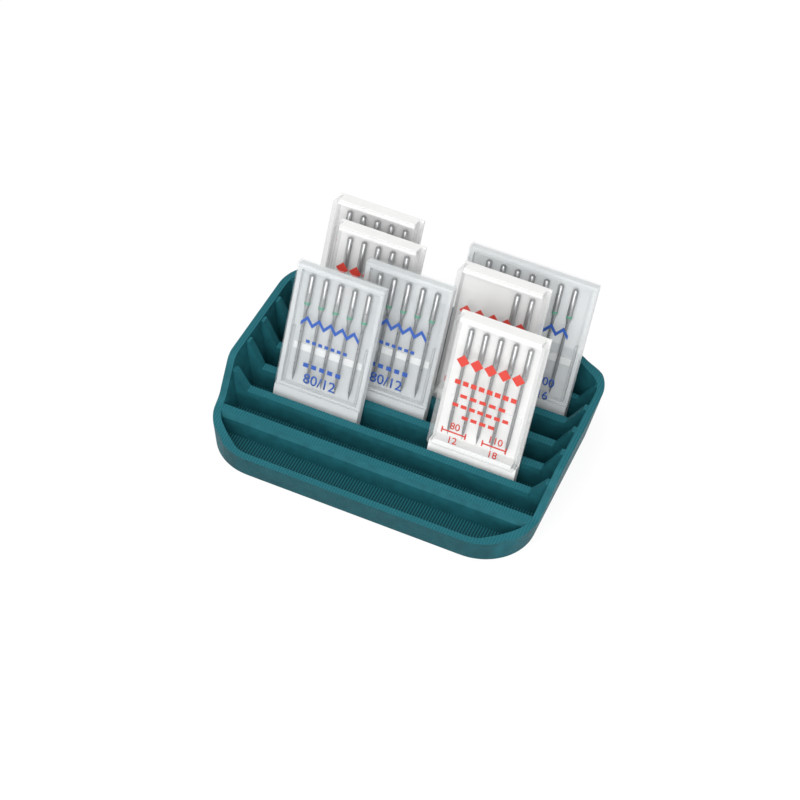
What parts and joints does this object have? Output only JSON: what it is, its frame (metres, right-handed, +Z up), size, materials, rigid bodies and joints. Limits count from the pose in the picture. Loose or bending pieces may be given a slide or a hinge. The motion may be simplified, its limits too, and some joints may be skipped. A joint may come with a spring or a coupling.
{
  "type": "needle case organizer",
  "caption": "Low tray with a front trough and stepped dividers between flared side walls, holding leaning clear needle cases whose covers slide up.",
  "frame": {"origin": "middle of the tray's underside", "axes": "+X to the right along the slots, +Y to the high back wall, +Z up"},
  "size_m": [0.11, 0.0834, 0.0554],
  "materials": {
    "tray_plastic": "printed layers, satin",
    "clear_plastic": "clear moulded plastic",
    "white_plastic": "white moulded plastic",
    "clip_plastic": "translucent moulded plastic",
    "needle_steel": "polished nickel plate"
  },
  "bodies": {
    "tray": {"tray": "tray_plastic"},
    "slim_1_case": {"slim_1_base": "clear_plastic", "slim_1_clip": "clip_plastic", "slim_1_needles": "needle_steel"},
    "slim_1_lid": {"slim_1_cover": "clear_plastic"},
    "slim_2_case": {"slim_2_base": "clear_plastic", "slim_2_clip": "clip_plastic", "slim_2_needles": "needle_steel"},
    "slim_2_lid": {"slim_2_cover": "clear_plastic"},
    "wide_1_case": {"wide_1_base": "clear_plastic", "wide_1_clip": "clip_plastic", "wide_1_needles": "needle_steel"},
    "wide_1_lid": {"wide_1_cover": "clear_plastic"},
    "deep_1_case": {"deep_1_base": "white_plastic", "deep_1_clip": "clip_plastic", "deep_1_needles": "needle_steel"},
    "deep_1_lid": {"deep_1_cover": "clear_plastic"},
    "deep_2_case": {"deep_2_base": "white_plastic", "deep_2_clip": "clip_plastic", "deep_2_needles": "needle_steel"},
    "deep_2_lid": {"deep_2_cover": "clear_plastic"},
    "deep_3_case": {"deep_3_base": "white_plastic", "deep_3_clip": "clip_plastic", "deep_3_needles": "needle_steel"},
    "deep_3_lid": {"deep_3_cover": "clear_plastic"},
    "deep_4_case": {"deep_4_base": "white_plastic", "deep_4_clip": "clip_plastic", "deep_4_needles": "needle_steel"},
    "deep_4_lid": {"deep_4_cover": "clear_plastic"}
  },
  "joints": [
    {"name": "slim_1_lift", "type": "slide", "parent": "tray", "child": "slim_1_case", "axis": [0, 0.3256, 0.9455], "range_m": [0, 0.032]},
    {"name": "slim_1_cover_slide", "type": "slide", "parent": "slim_1_case", "child": "slim_1_lid", "axis": [0, 0.3256, 0.9455], "range_m": [0, 0.02]},
    {"name": "slim_2_lift", "type": "slide", "parent": "tray", "child": "slim_2_case", "axis": [0, 0.3256, 0.9455], "range_m": [0, 0.032]},
    {"name": "slim_2_cover_slide", "type": "slide", "parent": "slim_2_case", "child": "slim_2_lid", "axis": [0, 0.3256, 0.9455], "range_m": [0, 0.02]},
    {"name": "wide_1_lift", "type": "slide", "parent": "tray", "child": "wide_1_case", "axis": [0, 0.3256, 0.9455], "range_m": [0, 0.032]},
    {"name": "wide_1_cover_slide", "type": "slide", "parent": "wide_1_case", "child": "wide_1_lid", "axis": [0, 0.3256, 0.9455], "range_m": [0, 0.02]},
    {"name": "deep_1_lift", "type": "slide", "parent": "tray", "child": "deep_1_case", "axis": [0, 0.3256, 0.9455], "range_m": [0, 0.032]},
    {"name": "deep_1_cover_slide", "type": "slide", "parent": "deep_1_case", "child": "deep_1_lid", "axis": [0, 0.3256, 0.9455], "range_m": [0, 0.02]},
    {"name": "deep_2_lift", "type": "slide", "parent": "tray", "child": "deep_2_case", "axis": [0, 0.3256, 0.9455], "range_m": [0, 0.032]},
    {"name": "deep_2_cover_slide", "type": "slide", "parent": "deep_2_case", "child": "deep_2_lid", "axis": [0, 0.3256, 0.9455], "range_m": [0, 0.02]},
    {"name": "deep_3_lift", "type": "slide", "parent": "tray", "child": "deep_3_case", "axis": [0, 0.3256, 0.9455], "range_m": [0, 0.032]},
    {"name": "deep_3_cover_slide", "type": "slide", "parent": "deep_3_case", "child": "deep_3_lid", "axis": [0, 0.3256, 0.9455], "range_m": [0, 0.02]},
    {"name": "deep_4_lift", "type": "slide", "parent": "tray", "child": "deep_4_case", "axis": [0, 0.3256, 0.9455], "range_m": [0, 0.032]},
    {"name": "deep_4_cover_slide", "type": "slide", "parent": "deep_4_case", "child": "deep_4_lid", "axis": [0, 0.3256, 0.9455], "range_m": [0, 0.02]}
  ]
}
